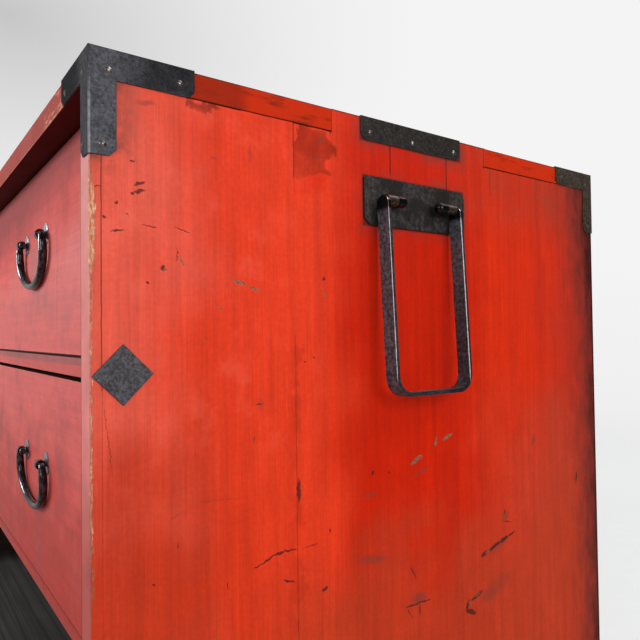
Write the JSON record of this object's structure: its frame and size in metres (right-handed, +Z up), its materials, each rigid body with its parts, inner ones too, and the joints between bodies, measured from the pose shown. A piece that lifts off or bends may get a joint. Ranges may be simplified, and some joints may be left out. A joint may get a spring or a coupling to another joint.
{
  "type": "small tansu chest",
  "caption": "Low travelling chest in worn red lacquer with stacked drawers over an open bay, forged iron corners, bail pulls and swinging carry handles.",
  "frame": {"origin": "middle of the underside, under the centre of the case", "axes": "+X to the right-hand side panel, -Y out of the front, +Z up"},
  "size_m": [0.7562, 0.4024, 0.4462],
  "materials": {
    "red_lacquer": "worn vermilion lacquer over vertical grain, semi-gloss",
    "front_lacquer": "duller red lacquer on drawer fronts and rails, semi-gloss",
    "case_wood": "bare softwood, aged dark, matt",
    "drawer_wood": "bare softwood, aged tan, matt",
    "sheet_iron": "hammered sheet iron, dark and mottled, satin",
    "forged_iron": "forged flat bar, purple-brown with bright worn edges",
    "nail_iron": "domed nail heads, satin",
    "washer_iron": "filed iron, satin",
    "pull_iron": "black forged iron, polished by use"
  },
  "bodies": {
    "case": {"side_front_board_right": "red_lacquer", "side_rear_board_right": "red_lacquer", "side_facing_right": "red_lacquer", "side_front_board_left": "red_lacquer", "side_rear_board_left": "red_lacquer", "side_facing_left": "red_lacquer", "top_board": "red_lacquer", "bottom_board": "case_wood", "back_plank_upper": "case_wood", "back_plank_middle": "case_wood", "back_plank_lower": "case_wood", "upper_rail": "front_lacquer", "upper_dust_board": "case_wood", "upper_stops": "case_wood", "lower_rail": "front_lacquer", "lower_dust_board": "case_wood", "lower_stops": "case_wood", "front_bracket_right": "sheet_iron", "front_bracket_left": "sheet_iron", "back_bracket_right": "sheet_iron", "back_bracket_left": "sheet_iron", "edge_strap_right": "sheet_iron", "edge_strap_left": "sheet_iron", "diamond_plate_right": "sheet_iron", "diamond_plate_left": "sheet_iron", "handle_plate_right": "sheet_iron", "handle_plate_left": "sheet_iron", "handle_eyes_right": "forged_iron", "handle_eyes_left": "forged_iron", "nails_right": "nail_iron", "nails_left": "nail_iron"},
    "upper_drawer": {"upper_drawer_front": "front_lacquer", "upper_drawer_side_right": "drawer_wood", "upper_drawer_side_left": "drawer_wood", "upper_drawer_back": "drawer_wood", "upper_drawer_bottom": "drawer_wood", "upper_pull_washers": "washer_iron", "upper_pull_eyes": "pull_iron"},
    "lower_drawer": {"lower_drawer_front": "front_lacquer", "lower_drawer_side_right": "drawer_wood", "lower_drawer_side_left": "drawer_wood", "lower_drawer_back": "drawer_wood", "lower_drawer_bottom": "drawer_wood", "lower_pull_washers": "washer_iron", "lower_pull_eyes": "pull_iron"},
    "upper_bail_right": {"upper_pull_bail_right": "pull_iron"},
    "upper_bail_left": {"upper_pull_bail_left": "pull_iron"},
    "lower_bail_right": {"lower_pull_bail_right": "pull_iron"},
    "lower_bail_left": {"lower_pull_bail_left": "pull_iron"},
    "handle_right": {"carry_handle_right": "forged_iron"},
    "handle_left": {"carry_handle_left": "forged_iron"}
  },
  "joints": [
    {"name": "upper_drawer_slide", "type": "slide", "parent": "case", "child": "upper_drawer", "axis": [0, -1, 0], "range_m": [0, 0.3]},
    {"name": "lower_drawer_slide", "type": "slide", "parent": "case", "child": "lower_drawer", "axis": [0, -1, 0], "range_m": [0, 0.3]},
    {"name": "upper_bail_right_swing", "type": "hinge", "parent": "upper_drawer", "child": "upper_bail_right", "pos_m": [0.176, -0.19, 0.3845], "axis": [-1, 0, 0], "range_deg": [0, 160]},
    {"name": "upper_bail_left_swing", "type": "hinge", "parent": "upper_drawer", "child": "upper_bail_left", "pos_m": [-0.176, -0.19, 0.3845], "axis": [-1, 0, 0], "range_deg": [0, 160]},
    {"name": "lower_bail_right_swing", "type": "hinge", "parent": "lower_drawer", "child": "lower_bail_right", "pos_m": [0.176, -0.19, 0.2357], "axis": [-1, 0, 0], "range_deg": [0, 160]},
    {"name": "lower_bail_left_swing", "type": "hinge", "parent": "lower_drawer", "child": "lower_bail_left", "pos_m": [-0.176, -0.19, 0.2357], "axis": [-1, 0, 0], "range_deg": [0, 160]},
    {"name": "handle_right_swing", "type": "hinge", "parent": "case", "child": "handle_right", "pos_m": [0.3668, -0.0035, 0.396], "axis": [0, -1, 0], "range_deg": [-3, 170]},
    {"name": "handle_left_swing", "type": "hinge", "parent": "case", "child": "handle_left", "pos_m": [-0.3668, -0.0035, 0.396], "axis": [0, 1, 0], "range_deg": [-3, 170]}
  ]
}
